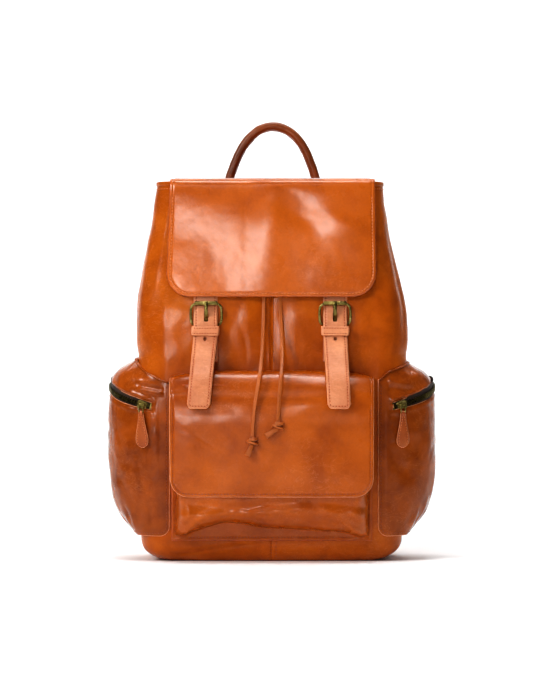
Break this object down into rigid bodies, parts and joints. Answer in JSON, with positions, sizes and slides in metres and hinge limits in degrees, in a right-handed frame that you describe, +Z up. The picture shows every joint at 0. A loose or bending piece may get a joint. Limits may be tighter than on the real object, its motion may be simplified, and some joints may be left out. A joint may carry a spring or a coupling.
{
  "type": "leather backpack",
  "caption": "Upright leather backpack with a buckled top flap, flap-covered front pocket, zipped side pockets, drawstring, top handle and padded shoulder straps.",
  "frame": {"origin": "middle of the outside box in plan, on the surface the bag stands on, without the hanging laces", "axes": "+Z up, front of the bag faces -Y, +X to the right in a front view"},
  "size_m": [0.34, 0.2216, 0.466],
  "materials": {
    "body_leather": "glossy tan leather",
    "padded_leather": "soft padded tan leather",
    "strap_leather": "lighter tan leather, semi-gloss",
    "lace_leather": "matt tan lace",
    "lining_cloth": "woven cotton lining",
    "stiffener_board": "pressed fibre board",
    "zip_tape": "woven dark brown tape",
    "antique_brass": "aged brass"
  },
  "bodies": {
    "bag": {"back_pad": "padded_leather", "back_panel": "body_leather", "base_board": "stiffener_board", "base_panel": "body_leather", "drawstring_rim": "lace_leather", "eyelets": "antique_brass", "front_panel_left": "body_leather", "front_panel_right": "body_leather", "front_pocket_gusset": "body_leather", "front_pocket_panel": "body_leather", "gusset_left": "body_leather", "gusset_right": "body_leather", "lace_upper": "lace_leather", "laptop_sleeve": "padded_leather", "lining": "lining_cloth", "mouth_binding": "body_leather", "pocket_snap_socket": "antique_brass", "side_pocket_left": "body_leather", "side_pocket_right": "body_leather", "snap_sockets": "antique_brass", "strap_anchors_low": "body_leather", "strap_anchors_top": "body_leather", "top_yoke": "body_leather", "zip_tape_left": "zip_tape", "zip_tape_right": "zip_tape", "zip_teeth_left": "antique_brass", "zip_teeth_right": "antique_brass"},
    "main_flap": {"flap_panel": "body_leather", "billet_roots": "strap_leather"},
    "handle": {"handle_grip": "body_leather"},
    "pocket_flap": {"pocket_flap": "body_leather", "pocket_snap_stud": "antique_brass"},
    "strap_left": {"billet_left": "strap_leather", "buckle_frame_left": "antique_brass", "buckle_tab_left": "body_leather", "keeper_left": "strap_leather", "snap_stud_left": "antique_brass"},
    "tongue_left": {"tongue_left": "antique_brass"},
    "roller_left": {"roller_left": "antique_brass"},
    "lace_left": {"lace_tail_left": "lace_leather", "knot_left": "lace_leather"},
    "zip_slider_left": {"zip_slider_left": "antique_brass"},
    "zip_puller_left": {"zip_puller_left": "body_leather"},
    "shoulder_left": {"shoulder_pad_left": "padded_leather", "lower_strap_left": "body_leather", "adjuster_left": "antique_brass"},
    "strap_right": {"billet_right": "strap_leather", "buckle_frame_right": "antique_brass", "buckle_tab_right": "body_leather", "keeper_right": "strap_leather", "snap_stud_right": "antique_brass"},
    "tongue_right": {"tongue_right": "antique_brass"},
    "roller_right": {"roller_right": "antique_brass"},
    "lace_right": {"lace_tail_right": "lace_leather", "knot_right": "lace_leather"},
    "zip_slider_right": {"zip_slider_right": "antique_brass"},
    "zip_puller_right": {"zip_puller_right": "body_leather"},
    "shoulder_right": {"shoulder_pad_right": "padded_leather", "lower_strap_right": "body_leather", "adjuster_right": "antique_brass"}
  },
  "joints": [
    {"name": "flap_lift", "type": "hinge", "parent": "bag", "child": "main_flap", "pos_m": [0, 0.0463, 0.4], "axis": [-1, 0, 0], "range_deg": [0, 120]},
    {"name": "handle_fold", "type": "hinge", "parent": "bag", "child": "handle", "pos_m": [0, 0.066, 0.3968], "axis": [-1, 0, 0], "range_deg": [-1, 62]},
    {"name": "pocket_flap_lift", "type": "hinge", "parent": "bag", "child": "pocket_flap", "pos_m": [0, -0.066, 0.2047], "axis": [-1, 0, 0], "range_deg": [0, 80]},
    {"name": "strap_swing_left", "type": "hinge", "parent": "main_flap", "child": "strap_left", "pos_m": [-0.0685, -0.0642, 0.2765], "axis": [-1, 0, 0], "range_deg": [-1, 58]},
    {"name": "tongue_pivot_left", "type": "hinge", "parent": "strap_left", "child": "tongue_left", "pos_m": [-0.0685, -0.066, 0.2465], "axis": [1, 0, 0], "range_deg": [0, 40]},
    {"name": "roller_spin_left", "type": "hinge", "parent": "strap_left", "child": "roller_left", "pos_m": [-0.0685, -0.069, 0.269], "axis": [1, 0, 0], "continuous": true},
    {"name": "lace_swing_left", "type": "hinge", "parent": "bag", "child": "lace_left", "pos_m": [-0.0085, -0.0639, 0.272], "axis": [-1, 0, 0], "range_deg": [-1, 58]},
    {"name": "zip_travel_left", "type": "hinge", "parent": "bag", "child": "zip_slider_left", "pos_m": [-0.1132, -0.012, 0.1725], "axis": [-0.1634, 0.2188, -0.962], "range_deg": [0, 80]},
    {"name": "puller_swing_left", "type": "hinge", "parent": "zip_slider_left", "child": "zip_puller_left", "pos_m": [-0.13427, -0.06989, 0.16257], "axis": [-0.9397, 0.342, 0], "range_deg": [0, 70]},
    {"name": "shoulder_swing_left", "type": "hinge", "parent": "bag", "child": "shoulder_left", "pos_m": [-0.04, 0.08, 0.352], "axis": [0.1961, 0, 0.9806], "range_deg": [-15, 15]},
    {"name": "strap_swing_right", "type": "hinge", "parent": "main_flap", "child": "strap_right", "pos_m": [0.0655, -0.0642, 0.2765], "axis": [-1, 0, 0], "range_deg": [-1, 58]},
    {"name": "tongue_pivot_right", "type": "hinge", "parent": "strap_right", "child": "tongue_right", "pos_m": [0.0655, -0.066, 0.2465], "axis": [1, 0, 0], "range_deg": [0, 40]},
    {"name": "roller_spin_right", "type": "hinge", "parent": "strap_right", "child": "roller_right", "pos_m": [0.0655, -0.069, 0.269], "axis": [1, 0, 0], "continuous": true},
    {"name": "lace_swing_right", "type": "hinge", "parent": "bag", "child": "lace_right", "pos_m": [0.0086, -0.0639, 0.272], "axis": [-1, 0, 0], "range_deg": [-1, 58]},
    {"name": "zip_travel_right", "type": "hinge", "parent": "bag", "child": "zip_slider_right", "pos_m": [0.1132, -0.012, 0.1725], "axis": [-0.1634, -0.2188, 0.962], "range_deg": [0, 80]},
    {"name": "puller_swing_right", "type": "hinge", "parent": "zip_slider_right", "child": "zip_puller_right", "pos_m": [0.13427, -0.06989, 0.16257], "axis": [-0.9397, -0.342, 0], "range_deg": [0, 70]},
    {"name": "shoulder_swing_right", "type": "hinge", "parent": "bag", "child": "shoulder_right", "pos_m": [0.04, 0.08, 0.352], "axis": [0.1961, 0, -0.9806], "range_deg": [-15, 15]}
  ],
  "couplings": [
    {"joint": "handle_fold", "follows": "flap_lift", "ratio": 0.5},
    {"joint": "strap_swing_left", "follows": "pocket_flap_lift", "ratio": 0.7},
    {"joint": "lace_swing_left", "follows": "pocket_flap_lift", "ratio": 0.7},
    {"joint": "strap_swing_right", "follows": "pocket_flap_lift", "ratio": 0.7},
    {"joint": "lace_swing_right", "follows": "pocket_flap_lift", "ratio": 0.7}
  ]
}
